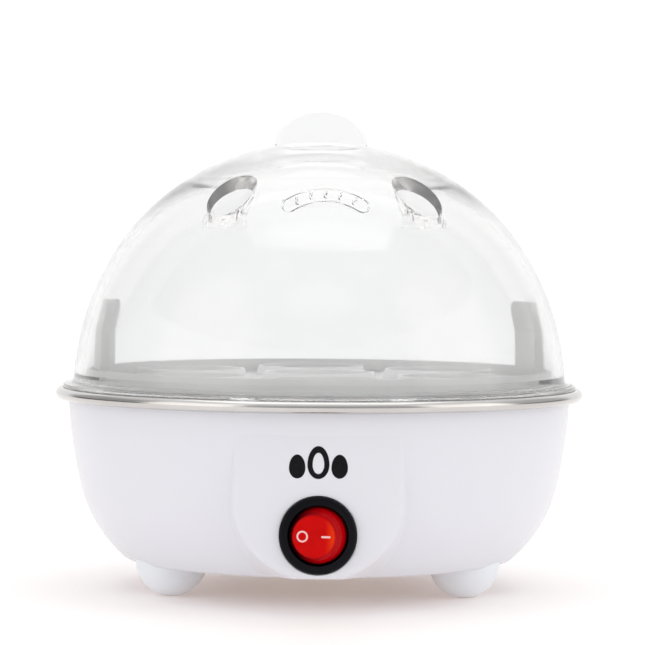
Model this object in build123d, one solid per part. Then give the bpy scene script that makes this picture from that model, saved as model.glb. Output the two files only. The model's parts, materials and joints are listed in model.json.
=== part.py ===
"""Round seven-egg cooker: clear dome lid, egg tray, stainless heating dish in a white bowl housing.

Millimetres. +Z is up, the front with the switch faces -Y, and the origin is on the table
under the middle of the cooker. Each function makes one sub-part, and the last lines write them.
"""

from build123d import *
import os
from math import atan2, cos, radians, sin, tan

# ---- Driving dimensions -------------------------------------------------------------------
WALL = 2.4                  # moulded wall of the housing
BOTTOM_Z = 9.6              # underside of the bowl
BOTTOM_R = 59.8             # edge of the flat underside
BOWL_ARCS = ((4.0, 42.0), (43.0, 34.5), (146.0, 11.1))      # radius, degrees turned, going up
HOUSING_TOP_Z = 60.5
LEDGE_R, LEDGE_Z, LEDGE_T = 39.0, 11.8, 2.0                 # ring that the bottom cover screws to
COVER_R, COVER_Z, COVER_T = 45.0, 9.8, 1.8
COVER_SCREW_R, COVER_SCREW_ANGLES = 42.0, (0, 60, 120, 180, 240, 300)

FOOT_RING_R, FOOT_R, FOOT_Z = 52.3, 11.1, 10.9              # three ball feet, cut flat at the table
FOOT_ANGLES = {"front_left": 210.0, "front_right": 330.0, "rear": 90.0}
FOOT_PAD_R, FOOT_PAD_Z, FOOT_STEM_R = 6.6, 17.5, 4.0
FOOT_WASHER_R = 5.0

TONGUE_R, TONGUE_Z, TONGUE_LOW_Z = 23.7, 34.7, 11.2         # raised front panel, round at the bottom
TONGUE_FACE_R, TONGUE_DRAFT = 78.95, 18.0                   # upright face that fades into the bowl's top
SWITCH_Z, SEAT_Y = 24.3, -78.1
BEZEL_R, BEZEL_T, SWITCH_HOLE_R, SWITCH_BODY_R = 11.5, 2.1, 10.1, 9.9
ROCKER_R, ROCKER_FACE, ROCKER_TILT = 8.65, 5.9, 11.0        # ball, distance to its flat, rest tilt
ROCKER_Y = -76.4                                            # rocker pivot
OPENING_R = 8.95
MARK_Z, FILM = 45.4, 0.06                                   # printed mark: middle and thickness
SWITCH_BLADES = (-6.4, 0.0, 6.4)

GLAND_Z, GLAND_Y, GLAND_HOLE_R = 28.0, 75.0, 6.1            # cord entry in the back wall
GLAND_FLANGE_R, GLAND_BOSS_R, CORD_R = 8.6, 9.5, 3.4

RIM_R, BEAD_R, RIM_Z = 81.7, 1.8, 61.8                      # rolled rim of the dish
SHEET = 0.6
DISH_R, DISH_FLOOR_R, DISH_FLOOR_Z = 73.6, 67.0, 46.2

SEAT_GAP = 0.1                                              # between parts that only rest on each other
LID_Z = RIM_Z + BEAD_R + SEAT_GAP
LID_TOP_Z = 141.6
LID_ARCS = ((79.6, 32.0), (71.8, 24.4), (84.7, 29.2))       # outside, from the top down
LID_INNER_ARCS = ((82.6, 32.0), (59.5, 24.4), (82.1, 29.2))
LID_INNER_TOP_Z = 137.0
LIP_R = 81.35
LID_TURN = 1.8                                              # the lid sits as it was put down
FIN_HALF_WIDTH, FIN_HEIGHT, FIN_THICKNESS, FIN_Z = 14.65, 11.7, 6.4, 140.2
VENT_R, VENT_ANGLE = 52.0, 35.0                             # from the axis, from the front
VENT_TUBE_R, VENT_MOUTH_R, VENT_WALL = 5.1, 10.6, 1.5
VENT_FLOOR_Z, VENT_BEND_Z, VENT_MOUTH_Z = 115.0, 117.6, 129.6

TRAY_TURN = 3.4
TRAY_R, TRAY_Z, TRAY_T = 76.2, LID_Z, 1.8
CUP_RING_R, CUP_R, CUP_LIP_R, CUP_TOP_Z = 47.0, 15.4, 17.6, 68.4
CUP_LOW_Z, TRAY_RIM_Z = 61.2, 69.5
TAB_R, TAB_TOP_Z, TAB_ARC, TAB_T = 71.0, 91.2, 34.0, 2.2

SPREADER_R, SPREADER_T = 46.0, 2.0
TUBE_R, TUBE_RING_R, TUBE_GAP_DEG = 3.2, 34.0, 50.0
STUD_RING_R, STUD_R = 57.0, 2.0
STUD_ANGLES = (30.0, 150.0, 210.0, 330.0)
BRACKET_Z, BRACKET_T = 33.2, 1.5
UNDER_DISH = DISH_FLOOR_Z - SHEET
UNDER_SPREADER = UNDER_DISH - SPREADER_T
COLD_END_Z = UNDER_SPREADER - TUBE_R - 3.4                  # where the element's terminals begin
CAP_Z = UNDER_SPREADER - 3.0                                # underside of the thermostat's cap
BLADE_Z = CAP_Z - 8.4                                       # middle of the thermostat's terminals
STRAP_SCREW_Y = (-13.5, 13.5)
FUSE_X = (20.5, 31.0)

WASHER_T, NUT_T = 0.8, 3.0
EARTH_ANGLE = 150.0
EARTH_TAG_Z = BRACKET_Z - NUT_T - 2 * WASHER_T              # under the nut of one stud

BLOCK_Y, BLOCK_Z = (22.0, 34.0), (COVER_Z + COVER_T, 22.7)  # terminal block on the bottom cover
BLOCK_SCREWS, BOSS_Z = ((-18.0, 28.0), (18.0, 28.0)), 16.2
EAR_T = 2.4
POLES, POLE_Z = (-10.5, -3.5, 3.5, 10.5), 17.7

WIRE_R = 0.9
SPADE_HALF = 5.5                                            # half length of a push-on connector
SPADE_SWITCH_Y = -47.6


# ---- Small helpers ------------------------------------------------------------------------
def rod(radius, low, high, x=0.0, y=0.0):
    """Upright cylinder between two heights."""
    return Pos(x, y, (low + high) / 2) * Cylinder(radius, high - low)


def rod_y(radius, back, front, x=0.0, z=0.0):
    """Cylinder along Y between two places."""
    return Pos(x, (back + front) / 2, z) * Rot(90, 0, 0) * Cylinder(radius, abs(back - front))


def block(x, y, z):
    """Box from three (low, high) pairs."""
    centre = [(low + high) / 2 for low, high in (x, y, z)]
    return Pos(*centre) * Box(x[1] - x[0], y[1] - y[0], z[1] - z[0])


def around(radius, degrees):
    """Point on a circle; 0 is +X and 270 is the front."""
    return radius * cos(radians(degrees)), radius * sin(radians(degrees))


def spin(section):
    """Solid of revolution about Z from a face drawn in the XZ plane."""
    return revolve(section, Axis.Z)


def section(*edges):
    """Face in the XZ plane from edges given as (radius, height) pairs."""
    return Plane.XZ * make_face(Curve() + list(edges))


def arc_chain(start, arcs, upward=True):
    """Tangent arcs that begin level at start; upward bends up, otherwise down. Also their end."""
    r, z = start
    angle = 0.0
    side = 1 if upward else -1
    edges = []
    for radius, turn in arcs:
        points = []
        for part in (0.0, 0.5, 1.0):
            a = radians(angle + part * turn)
            points.append((r + radius * (sin(a) - sin(radians(angle))),
                           z + side * radius * (cos(radians(angle)) - cos(a))))
        edges.append(ThreePointArc(*points))
        r, z = points[-1]
        angle += turn
    return edges, (r, z)


def turned(shape, degrees):
    return Rot(0, 0, degrees) * shape


def wire(points, radii):
    """Round insulated lead along straight runs joined by tangent arcs."""
    path = FilletPolyline(*points, radius=radii)
    start = Plane(origin=path @ 0, z_dir=path % 0)
    return sweep(start * Circle(WIRE_R), path=path)


# ---- Housing ------------------------------------------------------------------------------
def bowl_solid(inset):
    """Solid bowl whose surface lies inset inside the outside of the housing."""
    arcs = [(radius - inset, turn) for radius, turn in BOWL_ARCS]
    low = (BOTTOM_R, BOTTOM_Z + inset)
    edges, end = arc_chain(low, arcs)
    top = (0, end[1])
    return spin(section(Line((0, low[1]), low), *edges, Line(end, top), Line(top, (0, low[1]))))


def tongue_solid(inset):
    """Solid of the raised front panel, from the axis side out to its face; its sides widen inward."""
    depth, height = 27.0, 60.0
    root_r = TONGUE_R - inset + depth * tan(radians(TONGUE_DRAFT))
    outline = Pos(0, TONGUE_Z) * Circle(root_r)
    outline += Pos(0, TONGUE_Z + height / 2) * Rectangle(2 * root_r, height)
    root = Plane(origin=(0, depth - TONGUE_FACE_R, 0), x_dir=(1, 0, 0), z_dir=(0, -1, 0))
    prism = extrude(root * outline, amount=depth + 1, taper=TONGUE_DRAFT)
    face = rod(TONGUE_FACE_R - inset, TONGUE_LOW_Z + inset, HOUSING_TOP_Z)
    return prism & face


def housing_outside():
    bowl = bowl_solid(0)
    tongue = tongue_solid(0)
    front = tongue.faces().sort_by(Axis.Y)[0]
    edges = [e for e in front.edges() if e.center().Z < HOUSING_TOP_Z - 0.5]
    tongue = fillet(edges, 2.6)
    return bowl + tongue


def foot_places():
    return [around(FOOT_RING_R, angle) for angle in FOOT_ANGLES.values()]


def cover_screw_places():
    return [around(COVER_SCREW_R, angle) for angle in COVER_SCREW_ANGLES]


def housing_shell(outside):
    inside = bowl_solid(WALL) + tongue_solid(WALL)
    shell = outside - inside
    shell += rod(BOTTOM_R - 1, BOTTOM_Z, LEDGE_Z + LEDGE_T)
    shell -= rod(LEDGE_R, 0, LEDGE_Z + LEDGE_T)
    shell -= rod(COVER_R + 0.3, 0, LEDGE_Z)
    for x, y in foot_places():
        shell += rod(FOOT_PAD_R, 5, FOOT_PAD_Z, x, y) & outside
        shell -= rod(FOOT_STEM_R + 0.15, 0, FOOT_PAD_Z, x, y)
    for x, y in cover_screw_places():
        shell += rod(3.2, LEDGE_Z, LEDGE_Z + 10, x, y)
        shell -= rod(1.3, 0, LEDGE_Z + 8.5, x, y)
    for angle in STUD_ANGLES:
        lug = block((63, 80), (-6, 6), (BRACKET_Z + BRACKET_T, BRACKET_Z + BRACKET_T + 4))
        shell += turned(lug, angle) & outside
    shell += rod_y(GLAND_BOSS_R, GLAND_Y - 15, GLAND_Y, 0, GLAND_Z) - bowl_solid(WALL)
    shell -= rod_y(GLAND_HOLE_R, 50, 90, 0, GLAND_Z)
    shell -= rod_y(GLAND_FLANGE_R + 0.2, GLAND_Y, 90, 0, GLAND_Z)
    shell -= rod_y(BEZEL_R + 0.25, SEAT_Y, SEAT_Y - 8, 0, SWITCH_Z)
    shell -= rod_y(SWITCH_HOLE_R, -60, -90, 0, SWITCH_Z)
    return shell


def foot(outside, x, y):
    """Ball foot: fits the bowl, with a stem through the wall and a screw hole down its middle."""
    ball = Pos(x, y, FOOT_Z) * Sphere(FOOT_R)
    ball -= block((x - 20, x + 20), (y - 20, y + 20), (-20, 0))
    ball -= outside
    ball += rod(FOOT_STEM_R, 4, FOOT_PAD_Z - 0.2, x, y)
    return ball - rod(1.25, FOOT_PAD_Z - 10, FOOT_PAD_Z, x, y)


def foot_washers():
    washer = rod(FOOT_WASHER_R, FOOT_PAD_Z, FOOT_PAD_Z + 1) - rod(1.7, FOOT_PAD_Z, FOOT_PAD_Z + 1)
    return [Pos(x, y, 0) * washer for x, y in foot_places()]


def pan_screw(radius, length, head_r, head_h):
    """Cross-recessed screw that points down, with the underside of its head at the origin."""
    screw = rod(radius, -length, 0) + rod(head_r, 0, head_h)
    screw = fillet(screw.edges().group_by(Axis.Z)[-1], head_h * 0.4)
    for turn in (0, 90):
        screw -= Rot(0, 0, turn) * block((-head_r * 0.55, head_r * 0.55), (-0.35, 0.35),
                                         (head_h * 0.4, head_h + 1))
    return screw


def foot_screws():
    screw = pan_screw(1.2, 10, 3.0, 2.0)
    return [Pos(x, y, FOOT_PAD_Z + 1) * screw for x, y in foot_places()]


def bottom_cover():
    """Disc with six screw holes, vent slots and two bosses for the terminal block."""
    cover = rod(COVER_R, COVER_Z, COVER_Z + COVER_T)
    for x, y in cover_screw_places():
        cover -= rod(1.6, 0, 20, x, y)
    slot = extrude(SlotOverall(16, 2.6), 30)
    for ring_angle in range(0, 360, 30):
        if ring_angle in (60, 90, 120):
            continue
        x, y = around(26, ring_angle)
        cover -= Pos(x, y, 0) * Rot(0, 0, ring_angle) * slot
    for x, y in BLOCK_SCREWS:
        cover += rod(3.2, COVER_Z, BOSS_Z, x, y)
        cover -= rod(1.2, COVER_Z + 1, BOSS_Z, x, y)
    return cover


def cover_screws():
    screw = Rot(180, 0, 0) * pan_screw(1.25, 9, 2.6, 1.5)
    return [Pos(x, y, COVER_Z) * screw for x, y in cover_screw_places()]


# ---- Switch -------------------------------------------------------------------------------
def switch_body():
    """Snap-in round rocker switch housing with its bezel and a pocket for the rocker."""
    bezel = rod_y(BEZEL_R, SEAT_Y, SEAT_Y - BEZEL_T, 0, SWITCH_Z)
    bezel = fillet(bezel.edges().group_by(Axis.Y)[0], 1.2)
    body = bezel + rod_y(SWITCH_BODY_R, SEAT_Y, -56, 0, SWITCH_Z)
    body -= rod_y(OPENING_R, -90, -70, 0, SWITCH_Z)
    body -= rod_y(7.0, -70, -62, 0, SWITCH_Z)
    return body


def rocker_frame():
    """The rocker's own frame at rest: its pivot, turned to the off side."""
    return Pos(0, ROCKER_Y, SWITCH_Z) * Rot(0, 0, -ROCKER_TILT)


def switch_rocker():
    ball = Sphere(ROCKER_R)
    keep = block((-20, 20), (-ROCKER_FACE, 3.0), (-20, 20))
    rocker = ball & keep
    rocker = fillet(rocker.edges().group_by(Axis.Y)[0], 0.6)
    return rocker_frame() * rocker


def rocker_marks():
    """Ring on the off side and bar on the on side, printed on the face."""
    face = Plane(origin=(0, -ROCKER_FACE, 0), x_dir=(1, 0, 0), z_dir=(0, -1, 0))
    ring = face * Pos(-3.5, 0) * (Circle(1.7) - Circle(1.2))
    bar = face * Pos(3.5, 0) * RectangleRounded(2.7, 0.6, 0.25)
    return [rocker_frame() * extrude(shape, amount=0.1) for shape in (ring, bar)]


def switch_lamp():
    """Neon lamp that lights the rocker from behind."""
    radius, straight = 1.5, 5.0
    lamp = Cylinder(radius, straight)
    for side in (-1, 1):
        lamp += Pos(0, 0, side * straight / 2) * Sphere(radius)
    return Pos(0, -66.5, SWITCH_Z) * lamp


def switch_terminals():
    blade = block((-0.4, 0.4), (-56, -47), (SWITCH_Z - 2.4, SWITCH_Z + 2.4))
    return [Pos(x, 0, 0) * (blade - Pos(0, -50, SWITCH_Z) * Rot(0, 90, 0) * Cylinder(0.8, 4))
            for x in SWITCH_BLADES]


def egg_outline(width, height):
    """Egg standing on its blunt end, centred on its widest line."""
    low = Ellipse(width / 2, height * 0.43) & Pos(0, -height) * Rectangle(3 * width, 2 * height)
    high = Ellipse(width / 2, height * 0.57) & Pos(0, height) * Rectangle(3 * width, 2 * height)
    return low + high


def front_mark():
    """Printed row of three eggs on the front panel."""
    middle = egg_outline(6.4, 9.6) - egg_outline(3.4, 6.2)
    side = egg_outline(4.8, 7.0)
    row = Pos(0, -0.4) * middle + Pos(-6.2, -1.4) * side + Pos(6.2, -1.4) * side
    plane = Plane(origin=(0, -60, MARK_Z), x_dir=(1, 0, 0), z_dir=(0, -1, 0))
    prisms = extrude(plane * row, amount=30)
    film = rod(TONGUE_FACE_R + FILM, BOTTOM_Z, HOUSING_TOP_Z) - rod(TONGUE_FACE_R, BOTTOM_Z, HOUSING_TOP_Z)
    return (prisms & film).solids()


# ---- Dish and heater ----------------------------------------------------------------------
def heating_dish():
    """Pressed stainless dish with a rolled rim; the water is heated in it."""
    top_z = RIM_Z + BEAD_R
    wall_angle = atan2(top_z - DISH_FLOOR_Z, DISH_R - DISH_FLOOR_R)
    shift = SHEET / 2 * tan(wall_angle / 2)

    def face_line(side, floor_radius, rim_radius):
        """Upper (side -1) or under side (side 1) of the sheet, from the axis to the rim."""
        drop = SHEET if side > 0 else 0.0
        corners = [(0, DISH_FLOOR_Z - drop), (DISH_FLOOR_R + side * shift, DISH_FLOOR_Z - drop),
                   (DISH_R + side * shift, top_z - drop), (RIM_R, top_z - drop)]
        return FilletPolyline(*corners, radius=[floor_radius, rim_radius])

    def curl(radius):
        return [(RIM_R + radius * sin(radians(a)), RIM_Z + radius * cos(radians(a))) for a in (0, 125, 250)]

    upper = face_line(-1, 5.7, 2.9)
    under = face_line(1, 6.3, 2.3)
    outer, inner = curl(BEAD_R), curl(BEAD_R - SHEET)
    edges = [*upper.edges(), *under.edges(), ThreePointArc(*outer), ThreePointArc(*inner)]
    edges += [Line(outer[2], inner[2]), Line((0, DISH_FLOOR_Z), (0, DISH_FLOOR_Z - SHEET))]
    return spin(section(*edges))


def rim_seal():
    """Ring between the top of the housing and the underside of the dish's rim."""
    low, high = HOUSING_TOP_Z + SEAT_GAP, RIM_Z + BEAD_R - SHEET
    return rod(79.3, low, high) - rod(76.8, low, high)


def heat_spreader():
    return rod(SPREADER_R, UNDER_SPREADER, UNDER_DISH)


def tube_ends():
    half_gap = TUBE_GAP_DEG / 2
    return [around(TUBE_RING_R, half_gap), around(TUBE_RING_R, -half_gap)]


def heating_tube():
    """Sheathed horseshoe element under the spreader, with both cold ends turned down."""
    z = UNDER_SPREADER - TUBE_R
    (x1, y1), (x2, y2) = tube_ends()
    ring = Pos(0, 0, z) * Torus(TUBE_RING_R, TUBE_R)
    corners = [(0, 0), (2 * x1, 2 * y1), (2 * x2, 2 * y2)]
    gap = extrude(make_face(Polyline(*corners, close=True)), 60)
    ring -= gap
    for x, y in ((x1, y1), (x2, y2)):
        ring += Pos(x, y, z) * Sphere(TUBE_R)
        ring += rod(TUBE_R, COLD_END_Z, z, x, y)
    return ring


def tube_terminals():
    """Ceramic-sealed pin and spade blade at each cold end."""
    solids = []
    for x, y in tube_ends():
        pin = rod(1.2, COLD_END_Z - 3, COLD_END_Z, x, y)
        blade = block((x - 0.4, x + 0.4), (y - 2.4, y + 2.4), (COLD_END_Z - 9.2, COLD_END_Z - 3))
        solids.append(pin + blade)
    return solids


def thermostat_cap():
    return rod(8.6, CAP_Z, UNDER_SPREADER)


def thermostat_body():
    """Snap-disc thermostat with two side terminals."""
    body = rod(7.6, CAP_Z - 8, CAP_Z)
    for side in (-1, 1):
        body += block(sorted((side * 5, side * 14)), (-2.4, 2.4), (CAP_Z - 8.8, CAP_Z - 8))
    return body


def thermostat_bracket():
    """Strap that presses the thermostat against the spreader."""
    strap = extrude(SlotOverall(34, 12), 1.0)
    strap = Pos(0, 0, CAP_Z - 1.0) * Rot(0, 0, 90) * strap
    strap -= rod(7.8, 0, 60)
    for y in STRAP_SCREW_Y:
        strap -= rod(1.6, 0, 60, 0, y)
        strap += rod(3.0, CAP_Z, UNDER_SPREADER, 0, y) - rod(1.6, CAP_Z, UNDER_SPREADER, 0, y)
    return strap


def strap_screws():
    screw = Rot(180, 0, 0) * pan_screw(1.5, 4.0, 2.8, 1.8)
    return [Pos(0, y, CAP_Z - 1.0) * screw for y in STRAP_SCREW_Y]


def rod_x(radius, left, right, y=0.0, z=0.0):
    """Cylinder along X between two places."""
    return Pos((left + right) / 2, y, z) * Rot(0, 90, 0) * Cylinder(radius, right - left)


def thermal_fuse():
    fuse = rod_x(2.0, *FUSE_X, 0, BLADE_Z)
    return fillet(fuse.edges(), 0.8)


def fuse_clip():
    """Bent strap that holds the fuse under the spreader."""
    middle = sum(FUSE_X) / 2
    clip = block((middle - 2.5, middle + 2.5), (-2.8, 2.8), (BLADE_Z - 2.8, UNDER_SPREADER))
    return clip - block((middle - 5, middle + 5), (-2.05, 2.05), (BLADE_Z - 2.05, UNDER_SPREADER - 0.8))


def dish_studs():
    return [rod(STUD_R, BRACKET_Z - 8.5, UNDER_DISH, *around(STUD_RING_R, a)) for a in STUD_ANGLES]


def clamp_brackets():
    """Steel straps that pull the dish down onto the housing."""
    strap = block((52, 71), (-5, 5), (BRACKET_Z, BRACKET_Z + BRACKET_T))
    strap -= rod(STUD_R + 0.2, 0, 60, STUD_RING_R, 0)
    lip = block((52, 53.5), (-5, 5), (BRACKET_Z, BRACKET_Z + 6))
    return [turned(strap + lip, a) for a in STUD_ANGLES]


def clamp_nuts():
    """A nut under each bracket, and one more that holds the earth tag."""
    nut = extrude(RegularPolygon(3.9, 6), NUT_T) - rod(STUD_R + 0.02, -1, 5)
    nuts = [Pos(*around(STUD_RING_R, a), BRACKET_Z - WASHER_T - NUT_T) * nut for a in STUD_ANGLES]
    return nuts + [Pos(*around(STUD_RING_R, EARTH_ANGLE), EARTH_TAG_Z - NUT_T) * nut]


def earth_tag():
    """Ring tag under a stud nut, with a short barrel for the earth lead."""
    tag = rod(4.2, EARTH_TAG_Z, EARTH_TAG_Z + WASHER_T, STUD_RING_R, 0)
    tag += block((STUD_RING_R - 11, STUD_RING_R), (-1.6, 1.6), (EARTH_TAG_Z, EARTH_TAG_Z + WASHER_T))
    tag -= rod(STUD_R + 0.2, 0, 60, STUD_RING_R, 0)
    return turned(tag, EARTH_ANGLE)


def clamp_washers():
    washer = rod(4.4, BRACKET_Z - WASHER_T, BRACKET_Z) - rod(STUD_R + 0.2, 0, 60)
    return [Pos(*around(STUD_RING_R, a), 0) * washer for a in STUD_ANGLES]


# ---- Mains entry and wiring ---------------------------------------------------------------
def cord_gland():
    """Snap-in bushing in the back wall; the bore takes the mains cord."""
    gland = rod_y(GLAND_HOLE_R - 0.1, 62, GLAND_Y, 0, GLAND_Z)
    gland += rod_y(GLAND_FLANGE_R, GLAND_Y, GLAND_Y + 2.5, 0, GLAND_Z)
    gland = fillet(gland.edges().group_by(Axis.Y)[-1], 1.0)
    return gland - rod_y(CORD_R, 50, 90, 0, GLAND_Z)


def terminal_block():
    """Four-way block with two fixing ears, standing on the bottom cover."""
    middle_y = sum(BLOCK_Y) / 2
    body = block((-14, 14), BLOCK_Y, BLOCK_Z)
    for x in POLES:
        body -= rod_y(1.6, 10, 50, x, POLE_Z)
        body -= rod(1.9, POLE_Z, 40, x, middle_y)
    ears = block((-21.5, 21.5), (middle_y - 3, middle_y + 3), (BOSS_Z, BOSS_Z + EAR_T))
    for x, y in BLOCK_SCREWS:
        ears -= rod(1.5, 0, 60, x, y)
    return body + (ears - block((-14, 14), (10, 50), (0, 60)))


def block_screws():
    clamp = pan_screw(1.2, 1.6, 1.7, 1.6)
    fixing = pan_screw(1.15, 5.5, 2.8, 1.8)
    clamps = [Pos(x, sum(BLOCK_Y) / 2, POLE_Z + 3.1) * clamp for x in POLES]
    return clamps + [Pos(x, y, BOSS_Z + EAR_T) * fixing for x, y in BLOCK_SCREWS]


def spade_connectors():
    """Crimped push-on connectors on the switch, the thermostat and the element."""
    sleeve = block((-1.6, 1.6), (-SPADE_HALF, SPADE_HALF), (-3.2, 3.2))
    sleeve -= block((-0.42, 0.42), (-SPADE_HALF - 1, 1), (-2.45, 2.45))
    at_switch = [Pos(x, SPADE_SWITCH_Y, SWITCH_Z) * sleeve for x in SWITCH_BLADES]
    flat = Rot(0, 0, 90) * Rot(0, 90, 0) * sleeve
    at_thermostat = [Rot(0, 0, turn) * Pos(-13.6, 0, BLADE_Z) * flat for turn in (0, 180)]
    upright = Rot(90, 0, 0) * sleeve
    at_element = [Pos(x, y, COLD_END_Z - 3 - SPADE_HALF) * Rot(180, 0, 0) * upright for x, y in tube_ends()]
    return at_switch + at_thermostat + at_element


def leads():
    """Insulated leads by what they join: the points of each route and its bend radii."""
    (x1, y1), (x2, y2) = tube_ends()
    pole_y = BLOCK_Y[0] + 3
    left, middle, right = SWITCH_BLADES
    low = COLD_END_Z - 3 - 2 * SPADE_HALF
    front = SPADE_SWITCH_Y + SPADE_HALF
    blade = BLADE_Z
    tag_x, tag_y = around(STUD_RING_R - 11, EARTH_ANGLE)
    tag_z = EARTH_TAG_Z - WIRE_R
    routes = {
        "lead_live": ([(POLES[3], pole_y, POLE_Z), (POLES[3], 14, POLE_Z), (21, 0, 18.5),
                       (17, -20, 20), (right, -33, SWITCH_Z), (right, front, SWITCH_Z)], [6, 8, 8, 5]),
        "lead_switched": ([(middle, front, SWITCH_Z), (middle, -33, SWITCH_Z), (-14, -22, 27),
                           (-28, -9, blade), (-28, 0, blade), (-19.1, 0, blade)], [5, 6, 4, 3]),
        "lead_fuse_out": ([(FUSE_X[1], 0, blade), (37, 0, blade), (43, 7, 27), (40, 15, low - 2),
                           (x1, y1, low - 4), (x1, y1, low)], [4, 4, 2.5, 1.8]),
        "lead_neutral": ([(POLES[2], pole_y, POLE_Z), (POLES[2], 16, POLE_Z), (10, 4, 14.2),
                          (24, -8, 14.2), (x2, y2, low - 4), (x2, y2, low)], [6, 5, 5, 1.8]),
        "lead_lamp": ([(POLES[1], pole_y, POLE_Z), (POLES[1], 16, POLE_Z), (-11, 0, 16.2),
                       (-10, -20, 18.2), (left, -33, SWITCH_Z), (left, front, SWITCH_Z)], [6, 8, 6, 5]),
        "lead_earth": ([(POLES[0], pole_y, POLE_Z), (POLES[0], 15, POLE_Z), (-24, 8, 19.2),
                        (-34, 14, tag_z), (tag_x - 2, tag_y - 1, tag_z)], [6, 6, 4]),
    }
    return {name: wire(points, radii) for name, (points, radii) in routes.items()}


def lead_fuse_in():
    """Short straight lead between the thermostat's connector and the fuse."""
    return rod_x(WIRE_R, 19.1, FUSE_X[0], 0, BLADE_Z)


# ---- Lid ----------------------------------------------------------------------------------
def dome_solid(extra):
    """Solid bounded by the outside of the dome, grown by extra."""
    arcs = [(radius + extra, turn) for radius, turn in LID_ARCS]
    start = (0, LID_TOP_Z + extra)
    edges, end = arc_chain(start, arcs, upward=False)
    foot_point = (0, end[1])
    return spin(section(*edges, Line(end, foot_point), Line(foot_point, start)))


def lid_shell():
    """Dome wall with the flared lip that stands on the dish rim."""
    outer, (r, z) = arc_chain((0, LID_TOP_Z), LID_ARCS, upward=False)
    inner, (inner_r, inner_z) = arc_chain((0, LID_INNER_TOP_Z), LID_INNER_ARCS, upward=False)
    flare, step_z = 2.3, LID_Z + 1.1
    centre = (r + 0.1 + flare, step_z + flare)
    mid = (centre[0] - flare * sin(radians(45)), centre[1] - flare * sin(radians(45)))
    points = [(r + 0.1, centre[1]), (centre[0], step_z), (LIP_R - 0.4, step_z), (LIP_R, step_z - 0.4),
              (LIP_R, LID_Z), (LIP_R - 2.4, LID_Z), (inner_r + 1.6, LID_Z + 1.4), (inner_r, inner_z),
              (0, LID_INNER_TOP_Z), (0, LID_TOP_Z)]
    edges = [*outer, Line((r, z), points[0]), ThreePointArc(points[0], mid, points[1])]
    edges += [Line(points[i], points[i + 1]) for i in range(1, 6)]
    edges += [Line(points[6], points[7]), *inner, Line(points[8], points[9])]
    return spin(section(*edges))


def lid_fin():
    """Half-moon grip on top of the dome."""
    half = FIN_THICKNESS / 2
    arch = Ellipse(FIN_HALF_WIDTH, FIN_HEIGHT) & Pos(0, 50) * Rectangle(100, 100)
    arch += Pos(0, -1.2) * Rectangle(2 * FIN_HALF_WIDTH, 2.4)
    fin = extrude(Plane.XZ * Pos(0, FIN_Z) * arch, amount=half, both=True)
    rounded = [e for e in fin.edges() if e.center().Z > FIN_Z + 1 and abs(e.center().Y) > half - 0.1]
    return fillet(rounded, 1.5)


def vent_frustum(wall):
    """Flared recess of a steam vent, grown outward by wall."""
    flare = Cone(VENT_TUBE_R + wall, VENT_MOUTH_R + wall, VENT_MOUTH_Z - VENT_BEND_Z)
    recess = Pos(0, 0, (VENT_BEND_Z + VENT_MOUTH_Z) / 2) * flare
    recess += rod(VENT_TUBE_R + wall, VENT_FLOOR_Z - wall, VENT_BEND_Z)
    return recess + rod(VENT_MOUTH_R + wall, VENT_MOUTH_Z, LID_TOP_Z + 5)


def arc_frame():
    """Raised outline on the front of the dome, with wavy steam marks inside it."""
    height = 0.5
    centre_y, middle_r, half_turn = -75.3, 25.5, 25.0
    ends = [around(middle_r, 90 + a) for a in (-half_turn, 0, half_turn)]
    arc = ThreePointArc(*ends)
    outline = SlotArc(arc, 4.9) - SlotArc(arc, 4.1)
    for angle in (-20, -10, 0, 10, 20):
        wave = SlotArc(ThreePointArc((0, 0), (0.35, 0.6), (0, 1.2)), 0.45)
        wave += SlotArc(ThreePointArc((0, 0), (-0.35, -0.6), (0, -1.2)), 0.45)
        outline += Rot(0, 0, angle) * Pos(0, middle_r) * wave
    prisms = extrude(Pos(0, centre_y) * outline, LID_TOP_Z + 5)
    return prisms & (dome_solid(height) - dome_solid(-0.2))


def lid():
    shell = lid_shell() + lid_fin()
    dome = dome_solid(0)
    for side in (-1, 1):
        place = Pos(*around(VENT_R, 270 + side * VENT_ANGLE), 0)
        shell += place * vent_frustum(VENT_WALL) & dome
        shell -= place * vent_frustum(0)
        shell -= place * rod(0.9, 100, 130)
    shell += arc_frame()
    return turned(shell, LID_TURN)


# ---- Egg tray -----------------------------------------------------------------------------
def cup_places():
    return [(0.0, 0.0)] + [around(CUP_RING_R, 30 + 60 * i) for i in range(6)]


def tray_tab():
    """Upright curved grip tab on the right-hand side."""
    bend_z = TAB_TOP_Z - 9.5
    profile = Polyline((68.8, TRAY_Z + 1), (71.8, TRAY_Z + 1), (71.6, TRAY_RIM_Z), (TAB_R, bend_z),
                       (TAB_R - 2.4, TAB_TOP_Z), (TAB_R - 2.4 - TAB_T, TAB_TOP_Z),
                       (TAB_R - TAB_T, bend_z - 0.5), close=True)
    tab = revolve(Plane.XZ * make_face(profile), Axis.Z, revolution_arc=TAB_ARC)
    tab = turned(tab, -TAB_ARC / 2)
    corners = [e for e in tab.edges() if e.center().Z > TAB_TOP_Z - 0.01 and e.length < 3]
    return fillet(corners, 5.0)


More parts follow.
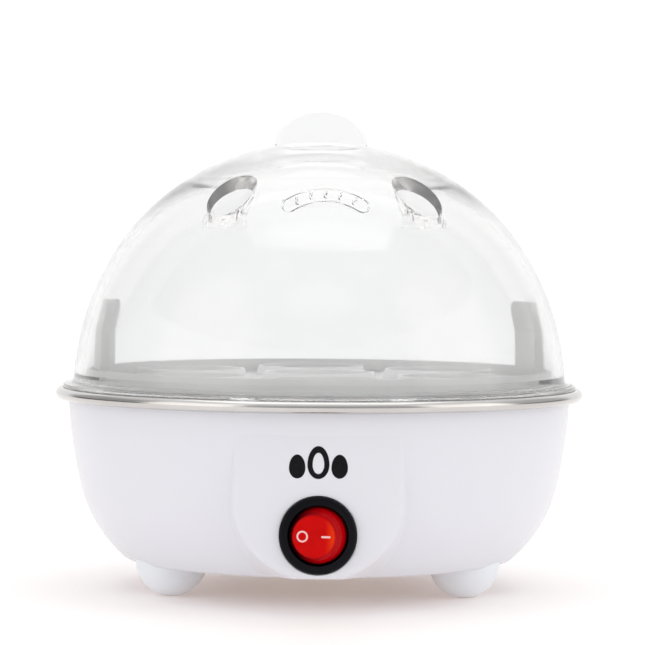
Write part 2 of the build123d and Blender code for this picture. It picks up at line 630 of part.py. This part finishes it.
def egg_tray():
    deck_top = TRAY_Z + TRAY_T
    points = [(0, TRAY_Z), (TRAY_R, TRAY_Z), (TRAY_R, TRAY_Z + 1.4), (74.4, deck_top), (73.6, TRAY_RIM_Z),
              (71.8, TRAY_RIM_Z), (71.6, deck_top), (0, deck_top)]
    tray = spin(Plane.XZ * make_face(Polyline(*points, close=True)))
    for x, y in cup_places():
        collar = Cone(CUP_LIP_R + 1.0, CUP_LIP_R, CUP_TOP_Z - deck_top)
        tray += Pos(x, y, (CUP_TOP_Z + deck_top) / 2) * collar
        tray += rod(CUP_R + 1.4, CUP_LOW_Z, deck_top, x, y)
    for x, y in cup_places():
        seat = Cone(CUP_R - 0.8, CUP_LIP_R - 1.0, CUP_TOP_Z - CUP_LOW_Z)
        tray -= Pos(x, y, (CUP_TOP_Z + CUP_LOW_Z) / 2) * seat
    for angle in (60, 120, 240, 300):
        tray -= rod(2.5, 0, 85, *around(62.0, angle))
    for angle in range(0, 360, 60):
        tray -= rod(3.0, 0, 85, *around(27.2, angle))
    for turn in (0, 180):
        tray += turned(tray_tab(), turn)
    return turned(tray, TRAY_TURN)


def build_parts():
    outside = housing_outside()
    parts = {
        "housing_shell": housing_shell(outside),
        "bottom_cover": bottom_cover(),
        "cover_screws": cover_screws(),
        "foot_washers": foot_washers(),
        "foot_screws": foot_screws(),
        "switch_body": switch_body(),
        "switch_rocker": switch_rocker(),
        "rocker_marks": rocker_marks(),
        "switch_lamp": switch_lamp(),
        "switch_terminals": switch_terminals(),
        "front_mark": front_mark(),
        "heating_dish": heating_dish(),
        "rim_seal": rim_seal(),
        "heat_spreader": heat_spreader(),
        "heating_tube": heating_tube(),
        "tube_terminals": tube_terminals(),
        "thermostat_cap": thermostat_cap(),
        "thermostat_body": thermostat_body(),
        "thermostat_bracket": thermostat_bracket(),
        "strap_screws": strap_screws(),
        "thermal_fuse": thermal_fuse(),
        "fuse_clip": fuse_clip(),
        "dish_studs": dish_studs(),
        "clamp_brackets": clamp_brackets(),
        "clamp_washers": clamp_washers(),
        "clamp_nuts": clamp_nuts(),
        "cord_gland": cord_gland(),
        "terminal_block": terminal_block(),
        "block_screws": block_screws(),
        "spade_connectors": spade_connectors(),
        "earth_tag": earth_tag(),
        "lead_fuse_in": lead_fuse_in(),
        "lid": lid(),
        "egg_tray": egg_tray(),
        **leads(),
    }
    for name, angle in FOOT_ANGLES.items():
        parts[f"foot_{name}"] = foot(outside, *around(FOOT_RING_R, angle))
    return parts


os.makedirs("parts", exist_ok=True)
for name, shape in build_parts().items():
    solids = shape if isinstance(shape, list) else [shape]
    export_step(Compound(children=solids) if len(solids) > 1 else solids[0], f"parts/{name}.step")
    print(name, len(solids), round(sum(s.volume for s in solids)))
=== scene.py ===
"""Looks of the egg cooker: clear dome, grey tray, steel dish, glossy white housing and red rocker.

Metres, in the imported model's frame: +Z up, the switch faces -Y, the table is at z = 0.
"""

import json
from math import pi, radians

import bmesh
import bpy
from mathutils import Matrix, Vector

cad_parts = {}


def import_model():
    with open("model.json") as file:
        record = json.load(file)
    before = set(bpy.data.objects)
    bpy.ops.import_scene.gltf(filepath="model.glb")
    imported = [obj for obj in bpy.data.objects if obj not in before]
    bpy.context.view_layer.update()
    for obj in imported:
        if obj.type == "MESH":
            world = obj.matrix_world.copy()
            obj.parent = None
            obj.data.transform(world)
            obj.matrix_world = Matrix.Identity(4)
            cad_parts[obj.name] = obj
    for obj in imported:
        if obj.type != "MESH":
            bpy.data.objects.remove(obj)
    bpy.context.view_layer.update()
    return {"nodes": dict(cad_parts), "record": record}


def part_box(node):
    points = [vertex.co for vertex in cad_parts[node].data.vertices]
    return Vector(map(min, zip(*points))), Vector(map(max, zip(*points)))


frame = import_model()
nodes = frame["nodes"]

MM = 0.001
MICRON = 0.000001

# Parts of a noise's range that a look spreads over. A narrow one gives sharper patches.
WIDE = (0.3, 0.7)
SOFT = (0.3, 0.75)
NARROW = (0.35, 0.65)

# Camera, in front of the switch. The lens and the sensor are in millimetres.
CAMERA_SIDE = 0.0009
CAMERA_DISTANCE = 0.918
CAMERA_HEIGHT = 0.1124
AIM_HEIGHT = 0.0841
LENS = 161.0
SENSOR = 36.0
ROLL = radians(0.39)

FLOOR_RADIUS = 1.6
FLOOR_SEGMENTS = 96

# Brightness round the room by azimuth in degrees: 0 is in front of the switch, positive to the right
# of the picture. Near the horizon a softbox stands on each side of the camera, with a dim front between
# them, a dark gap behind each and a white wall at the back. Higher up these go on as a tent, where
# the front and the gaps are less dark.
HORIZON = ((-180, 1.0), (-142, 1.0), (-126, 0.10), (-84, 0.06), (-74, 1.6), (-42, 1.7), (-26, 0.40),
           (0, 0.32), (42, 0.40), (54, 1.7), (88, 1.7), (98, 0.16), (128, 0.24), (144, 1.0), (180, 1.0))
TENT = ((-180, 1.0), (-148, 1.0), (-132, 0.5), (-88, 0.4), (-74, 1.5), (-42, 1.5), (-28, 0.58),
        (0, 0.52), (40, 0.58), (54, 1.5), (84, 1.6), (98, 0.6), (132, 0.6), (148, 1.0), (180, 1.0))
CEILING = 0.95
ROOM_PEAK = 1.7
# A level above this one is a softbox, and its light is a little warm.
SOFTBOX_FROM = 1.2
SOFTBOX_WARMTH = 0.97
# Heights between which one band of the room turns into the next, as the sine of the elevation.
TENT_RISE = (0.05, 0.2)
CEILING_RISE = (0.45, 0.8)
# The plain white that the camera sees behind the cooker, directly and through the clear lid.
BACKDROP = 1.05
BACKDROP_THROUGH_LID = 0.99


# ---- Node helpers -------------------------------------------------------------------------
class Graph:
    """A node tree under construction. Its methods add nodes and return their output sockets."""

    def __init__(self, tree):
        self.tree = tree

    def add(self, kind, **settings):
        node = self.tree.nodes.new(kind)
        for key, value in settings.items():
            setattr(node, key, value)
        return node

    def link(self, source, target):
        self.tree.links.new(source, target)

    def math(self, operation, *values):
        """One arithmetic node. Each value is a number or a socket."""
        node = self.add("ShaderNodeMath", operation=operation)
        for value, socket in zip(values, node.inputs):
            if isinstance(value, (int, float)):
                socket.default_value = value
            else:
                self.link(value, socket)
        return node.outputs["Value"]

    def ranged(self, source, span, low=0.0, high=1.0, **settings):
        """Runs from low to high while the source crosses the span, and is flat outside it."""
        node = self.add("ShaderNodeMapRange", **settings)
        for key, value in zip(("From Min", "From Max", "To Min", "To Max"), (*span, low, high)):
            node.inputs[key].default_value = value
        self.link(source, node.inputs["Value"])
        return node.outputs["Result"]

    def blend(self, factor, first, second):
        """Colour between two colours. Each is red, green and blue, or a socket."""
        node = self.add("ShaderNodeMix", data_type="RGBA")
        self.link(factor, node.inputs["Factor"])
        for value, socket in ((first, node.inputs["A"]), (second, node.inputs["B"])):
            if isinstance(value, tuple):
                socket.default_value = (*value, 1.0)
            else:
                self.link(value, socket)
        return node.outputs["Result"]


class Look(Graph):
    """A material under construction: its node tree, its shader and the object coordinates."""

    def __init__(self, name, **sockets):
        self.material = bpy.data.materials.new(name)
        self.material.use_nodes = True
        super().__init__(self.material.node_tree)
        self.shader = self.tree.nodes["Principled BSDF"]
        self.coords = self.add("ShaderNodeTexCoord").outputs["Object"]
        self.relief = None
        for socket, value in sockets.items():
            self.shader.inputs[socket.replace("_", " ")].default_value = value

    def noise(self, per_metre, detail=4.0, stretch=(1, 1, 1), distortion=0.0):
        """Fractal noise over the object, with its coordinates multiplied by the stretch."""
        mapping = self.add("ShaderNodeMapping")
        mapping.inputs["Scale"].default_value = stretch
        self.link(self.coords, mapping.inputs["Vector"])
        node = self.add("ShaderNodeTexNoise")
        node.inputs["Scale"].default_value = per_metre
        node.inputs["Detail"].default_value = detail
        node.inputs["Roughness"].default_value = 0.55
        node.inputs["Distortion"].default_value = distortion
        self.link(mapping.outputs["Vector"], node.inputs["Vector"])
        return node.outputs["Fac"]

    def scratches(self, per_metre, width):
        """Thin wandering hairlines: 1 on a line and 0 between them."""
        wander = self.noise(per_metre, detail=2.0, distortion=1.2)
        edge = self.math("ABSOLUTE", self.math("SUBTRACT", wander, 0.5))
        return self.ranged(edge, (0.0, width), 1.0, 0.0)

    def position(self):
        """The object coordinates as separate X, Y and Z outputs."""
        parts = self.add("ShaderNodeSeparateXYZ")
        self.link(self.coords, parts.inputs["Vector"])
        return parts.outputs

    def distance(self, across, along):
        """Length of the line that goes this far across and this far along."""
        squares = self.math("ADD", self.math("POWER", across, 2.0), self.math("POWER", along, 2.0))
        return self.math("SQRT", squares)

    def wave(self, distance, pitch):
        """Sine of a distance, from -1 to 1, which repeats every pitch."""
        return self.math("SINE", self.math("MULTIPLY", distance, 2 * pi / pitch))

    def colour(self, source):
        self.link(source, self.shader.inputs["Base Color"])

    def tones(self, source, span, first, second):
        """Base colour that drifts from the first tone to the second while the source crosses the span."""
        self.colour(self.blend(self.ranged(source, span), first, second))

    def rough(self, source):
        self.link(source, self.shader.inputs["Roughness"])

    def bump(self, height, depth, strength):
        """Adds relief; depth is in metres. Each call builds on the last."""
        node = self.add("ShaderNodeBump")
        node.inputs["Distance"].default_value = depth
        node.inputs["Strength"].default_value = strength
        self.link(height, node.inputs["Height"])
        if self.relief is not None:
            self.link(self.relief, node.inputs["Normal"])
        self.relief = node.outputs["Normal"]
        self.link(self.relief, self.shader.inputs["Normal"])


# ---- Materials ----------------------------------------------------------------------------
def glossy_white():
    """Housing: injection-moulded white with a faint blue cast, slight orange peel and handling marks."""
    look = Look("glossy_white", Specular_IOR_Level=0.5, Coat_Weight=0.35, Coat_Roughness=0.05)
    look.tones(look.noise(14.0, detail=5.0), WIDE, (0.785, 0.80, 0.86), (0.805, 0.82, 0.875))
    smear = look.noise(45.0, detail=6.0, stretch=(1, 1, 0.35))
    look.rough(look.ranged(smear, SOFT, 0.29, 0.38))
    look.bump(look.noise(260.0, detail=2.0), 40 * MICRON, 0.35)
    look.bump(look.scratches(55.0, 0.02), 4 * MICRON, 0.25)
    return look.material


def satin_plastic(name, first, second, roughness, grain=1500.0, depth=30 * MICRON, shine=0.5):
    """Moulded plastic with a spark-eroded grain."""
    look = Look(name, Specular_IOR_Level=shine)
    look.tones(look.noise(35.0), NARROW, first, second)
    look.rough(look.ranged(look.noise(120.0), WIDE, roughness - 0.05, roughness + 0.07))
    look.bump(look.noise(grain, detail=2.0), depth, 0.5)
    return look.material


def clear_plastic():
    """Lid: clear injection-moulded plastic with faint flow waviness, haze and hairline scratches."""
    look = Look("clear_plastic", Transmission_Weight=0.972, IOR=1.31, Coat_Weight=0.3, Coat_Roughness=0.03,
                Base_Color=(0.992, 0.994, 0.995, 1.0))
    haze = look.ranged(look.noise(30.0, detail=5.0), SOFT, 0.02, 0.06)
    lines = look.scratches(38.0, 0.004)
    look.rough(look.math("ADD", haze, look.math("MULTIPLY", lines, 0.06)))
    look.bump(look.noise(12.0, detail=0.0), 30 * MICRON, 0.2)
    return look.material


def tray_plastic():
    """Egg tray: translucent grey polypropylene."""
    look = Look("tray_plastic", Transmission_Weight=0.12, IOR=1.49, Subsurface_Weight=0.8,
                Subsurface_Scale=3 * MM, Subsurface_Radius=(1.0, 1.0, 1.0))
    look.tones(look.noise(40.0, detail=5.0), WIDE, (0.87, 0.87, 0.865), (0.92, 0.92, 0.915))
    look.rough(look.ranged(look.noise(90.0), WIDE, 0.28, 0.42))
    look.bump(look.noise(900.0, detail=2.0), 30 * MICRON, 0.4)
    return look.material


def polished_steel():
    """Dish: spun stainless steel, polished, with fine turning lines round the axis and soft stains."""
    look = Look("polished_steel", Metallic=1.0, Anisotropic=0.35)
    stain = look.noise(28.0, detail=5.0)
    look.tones(stain, (0.35, 0.7), (0.66, 0.65, 0.64), (0.58, 0.565, 0.55))
    turned = look.add("ShaderNodeTexNoise", noise_dimensions="1D")
    turned.inputs["Scale"].default_value = 5200.0
    turned.inputs["Detail"].default_value = 3.0
    place = look.position()
    look.link(look.distance(place["X"], place["Y"]), turned.inputs["W"])
    look.rough(look.ranged(look.math("ADD", turned.outputs["Fac"], stain), (0.7, 1.4), 0.08, 0.18))
    look.bump(turned.outputs["Fac"], 6 * MICRON, 0.35)
    return look.material


def metal(name, first, second, roughness):
    """Plated or bare metal with colour drift and a fine surface."""
    look = Look(name, Metallic=1.0)
    look.tones(look.noise(90.0), NARROW, first, second)
    fine = look.noise(700.0, detail=5.0)
    look.rough(look.ranged(fine, WIDE, roughness - 0.08, roughness + 0.1))
    look.bump(fine, 20 * MICRON, 0.4)
    return look.material


def soft_rubber(name, first, second):
    """Rubber and cable insulation: matt with a dusty grain."""
    look = Look(name)
    look.tones(look.noise(160.0), NARROW, first, second)
    look.rough(look.ranged(look.noise(400.0), WIDE, 0.44, 0.6))
    look.bump(look.noise(1800.0, detail=2.0), 20 * MICRON, 0.4)
    return look.material


def red_lens():
    """Rocker: translucent red with a deeper red skirt, whose sunken left half is darkened with painted
    shade.

    Painted light brightens the face in a fine diffuser grid towards its raised edge, as orange-red colour.
    """
    face_edge, skirt_edge = 5.9 * MM, 6.5 * MM
    # Distance right of the middle where the painted light on the face begins.
    painted_glow_from = 3.4 * MM
    # Span across the skirt over which its painted shade lifts, from the sunken left to the raised right.
    raised_side = (-4.5 * MM, 3.0 * MM)
    grid_pitch, rib_pitch = 0.34 * MM, 0.9 * MM

    low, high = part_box("rocker_marks")
    middle = (low + high) / 2
    look = Look("red_lens", Transmission_Weight=0.1, IOR=1.5, Specular_IOR_Level=0.03)
    place = look.position()
    across = look.math("SUBTRACT", place["X"], middle.x)
    up = look.math("SUBTRACT", place["Z"], middle.z)
    reach = look.distance(across, up)
    skirt = look.ranged(reach, (face_edge, skirt_edge))
    grid = look.math("MULTIPLY", look.wave(across, grid_pitch), look.wave(up, grid_pitch))
    # Painted light: the face turns orange-red towards its raised edge, brighter on the lines of a fine
    # grid.
    painted_glow_mask = look.math("MULTIPLY", look.ranged(across, (painted_glow_from, face_edge)),
                     look.ranged(grid, (-0.6, 0.8), 0.55, 1.0))
    cloud = look.ranged(look.noise(220.0, detail=3.0), WIDE)
    deep = look.blend(cloud, (0.62, 0.0, 0.0), (0.70, 0.0, 0.0))
    # Face colour, with its painted light over the deep red.
    face = look.blend(painted_glow_mask, deep, (1.0, 0.055, 0.004))
    # Painted shade: the skirt darkens to near black towards its sunken left half.
    skirt_painted_shade = look.blend(look.ranged(across, raised_side), (0.03, 0.0, 0.002), (0.50, 0.0, 0.003))
    look.colour(look.blend(skirt, face, skirt_painted_shade))
    look.rough(look.ranged(look.noise(300.0), WIDE, 0.12, 0.22))
    look.bump(look.math("MULTIPLY", look.wave(reach, rib_pitch), skirt), 50 * MICRON, 0.6)
    look.bump(look.noise(700.0, detail=2.0), 20 * MICRON, 0.3)
    return look.material


def ink(name, first, second):
    """Pad-printed ink with a slightly uneven film."""
    look = Look(name, Specular_IOR_Level=0.15)
    look.tones(look.noise(500.0), NARROW, first, second)
    look.rough(look.ranged(look.noise(900.0), WIDE, 0.32, 0.48))
    look.bump(look.noise(2500.0, detail=2.0), 10 * MICRON, 0.4)
    return look.material


def lamp_glass():
    """Bulb of the switch's neon lamp: thin clear glass with a warm tint."""
    look = Look("lamp_glass", Transmission_Weight=0.9, IOR=1.5)
    look.colour(look.blend(look.noise(500.0), (0.95, 0.80, 0.70), (0.98, 0.9, 0.84)))
    look.rough(look.ranged(look.noise(700.0), WIDE, 0.02, 0.08))
    return look.material


looks = {
    "white_plastic": glossy_white(),
    "white_cover": satin_plastic("white_cover", (0.74, 0.74, 0.74), (0.8, 0.8, 0.8), 0.5),
    "foot_plastic": satin_plastic("foot_plastic", (0.86, 0.905, 0.955), (0.90, 0.94, 0.985), 0.36,
                                  grain=900.0, depth=20 * MICRON),
    "black_plastic": satin_plastic("black_plastic", (0.003, 0.003, 0.005), (0.006, 0.006, 0.009), 0.34,
                                   grain=1200.0, depth=20 * MICRON, shine=0.09),
    "black_print": ink("black_print", (0.002, 0.002, 0.004), (0.005, 0.005, 0.007)),
    "white_print": ink("white_print", (0.90, 0.56, 0.56), (0.96, 0.64, 0.64)),
    "red_lens": red_lens(),
    "lamp_glass": lamp_glass(),
    "polished_steel": polished_steel(),
    "zinc_steel": metal("zinc_steel", (0.58, 0.60, 0.63), (0.68, 0.69, 0.70), 0.34),
    "tube_steel": metal("tube_steel", (0.30, 0.28, 0.26), (0.42, 0.40, 0.37), 0.45),
    "aluminium": metal("aluminium", (0.68, 0.68, 0.69), (0.76, 0.76, 0.76), 0.42),
    "brass": metal("brass", (0.68, 0.52, 0.25), (0.76, 0.62, 0.34), 0.32),
    "silicone": soft_rubber("silicone", (0.72, 0.72, 0.71), (0.78, 0.78, 0.77)),
    "fuse_case": metal("fuse_case", (0.52, 0.50, 0.45), (0.60, 0.58, 0.52), 0.38),
    "natural_nylon": satin_plastic("natural_nylon", (0.76, 0.74, 0.66), (0.82, 0.80, 0.74), 0.42),
    "clear_plastic": clear_plastic(),
    "tray_plastic": tray_plastic(),
    "lead_brown": soft_rubber("lead_brown", (0.10, 0.045, 0.02), (0.14, 0.06, 0.03)),
    "lead_red": soft_rubber("lead_red", (0.42, 0.02, 0.015), (0.50, 0.03, 0.02)),
    "lead_blue": soft_rubber("lead_blue", (0.03, 0.09, 0.32), (0.04, 0.12, 0.40)),
    "lead_green": soft_rubber("lead_green", (0.16, 0.32, 0.04), (0.55, 0.52, 0.06)),
}

for row in frame["record"]["subparts"]:
    shown = nodes[row["node"]].data
    shown.materials.clear()
    shown.materials.append(looks[row["material_slot"]])


# ---- Floor, light and camera --------------------------------------------------------------
def floor():
    """Large round light table: white where it is lit, with a soft warm shadow under the cooker."""
    mesh = bpy.data.meshes.new("floor")
    form = bmesh.new()
    bmesh.ops.create_circle(form, cap_ends=True, radius=FLOOR_RADIUS, segments=FLOOR_SEGMENTS)
    form.to_mesh(mesh)
    form.free()
    look = Look("pale_floor", Roughness=0.6, Emission_Strength=0.18, Emission_Color=(1.0, 0.76, 0.67, 1.0))
    look.colour(look.blend(look.noise(3.0), (0.88, 0.895, 0.905), (0.90, 0.915, 0.925)))
    mesh.materials.append(look.material)
    plane = bpy.data.objects.new("floor", mesh)
    bpy.context.scene.collection.objects.link(plane)


def world():
    """Studio: softboxes round the horizon and a bright ceiling, which light and reflections see.

    The camera sees a plain white backdrop instead, directly and through the clear lid.
    """
    room = bpy.data.worlds.new("room")
    bpy.context.scene.world = room
    room.use_nodes = True
    graph = Graph(room.node_tree)

    direction = graph.add("ShaderNodeSeparateXYZ")
    graph.link(graph.add("ShaderNodeTexCoord").outputs["Generated"], direction.inputs["Vector"])
    forward = graph.math("MULTIPLY", direction.outputs["Y"], -1.0)
    azimuth_angle = graph.math("ARCTAN2", direction.outputs["X"], forward)
    place = graph.ranged(azimuth_angle, (-pi, pi))

    def ring(levels):
        """Colour round the room, from its brightness by azimuth."""
        ramp = graph.add("ShaderNodeValToRGB")
        ramp.color_ramp.interpolation = "EASE"
        stops = ramp.color_ramp.elements
        while len(stops) < len(levels):
            stops.new(0.5)
        for stop, (azimuth, level) in zip(stops, levels):
            share = level / ROOM_PEAK
            warmth = SOFTBOX_WARMTH if level > SOFTBOX_FROM else 1.0
            stop.position = (azimuth + 180) / 360
            stop.color = (share, share * warmth, share * warmth * warmth, 1.0)
        graph.link(place, ramp.inputs["Fac"])
        return ramp.outputs["Color"]

    def over(below, above, rise):
        """One colour below a height and another above it, by the sine of the elevation."""
        height = graph.ranged(direction.outputs["Z"], rise, interpolation_type="SMOOTHSTEP")
        return graph.blend(height, below, above)

    walls = over(ring(HORIZON), ring(TENT), TENT_RISE)
    studio = graph.tree.nodes["Background"]
    graph.link(over(walls, (CEILING / ROOM_PEAK,) * 3, CEILING_RISE), studio.inputs["Color"])
    studio.inputs["Strength"].default_value = ROOM_PEAK

    ray = graph.add("ShaderNodeLightPath").outputs
    white = graph.add("ShaderNodeBackground")
    white.inputs["Color"].default_value = (1.0, 1.0, 1.0, 1.0)
    level = graph.math("MULTIPLY_ADD", ray["Is Camera Ray"], BACKDROP - BACKDROP_THROUGH_LID,
                       BACKDROP_THROUGH_LID)
    graph.link(level, white.inputs["Strength"])
    seen = graph.add("ShaderNodeMixShader")
    graph.link(graph.math("MAXIMUM", ray["Is Camera Ray"], ray["Is Transmission Ray"]), seen.inputs["Fac"])
    graph.link(studio.outputs["Background"], seen.inputs[1])
    graph.link(white.outputs["Background"], seen.inputs[2])
    graph.link(seen.outputs["Shader"], graph.tree.nodes["World Output"].inputs["Surface"])


def softbox(name, place, target, width, height, watts):
    """Rectangular lamp at a place, turned to face the target."""
    data = bpy.data.lights.new(name, "AREA")
    data.shape = "RECTANGLE"
    data.size, data.size_y = width, height
    data.energy = watts
    lamp = bpy.data.objects.new(name, data)
    lamp.location = place
    lamp.rotation_euler = (Vector(target) - Vector(place)).to_track_quat("-Z", "Y").to_euler()
    bpy.context.scene.collection.objects.link(lamp)


def camera():
    """Long lens a little above the table, looking slightly down."""
    eye = Vector((CAMERA_SIDE, -CAMERA_DISTANCE, CAMERA_HEIGHT))
    aim = Vector((CAMERA_SIDE, 0.0, AIM_HEIGHT))
    facing = (aim - eye).to_track_quat("-Z", "Y").to_matrix().to_4x4()
    data = bpy.data.cameras.new("camera")
    data.sensor_width = SENSOR
    data.lens = LENS
    data.clip_start, data.clip_end = 0.01, 50.0
    made = bpy.data.objects.new("camera", data)
    made.matrix_world = Matrix.Translation(eye) @ facing @ Matrix.Rotation(ROLL, 4, "Z")
    bpy.context.scene.collection.objects.link(made)
    bpy.context.scene.camera = made


floor()
world()
softbox("overhead", place=(0.0, 0.1, 1.3), target=(0, 0, 0), width=1.2, height=1.2, watts=3.0)
camera()
bpy.context.scene.view_settings.view_transform = "Standard"
# Light crosses many faces of the clear lid, and with fewer bounces the dome turns dark.
light_paths = bpy.context.scene.cycles
light_paths.max_bounces = 24
light_paths.glossy_bounces = 16
light_paths.transmission_bounces = 24
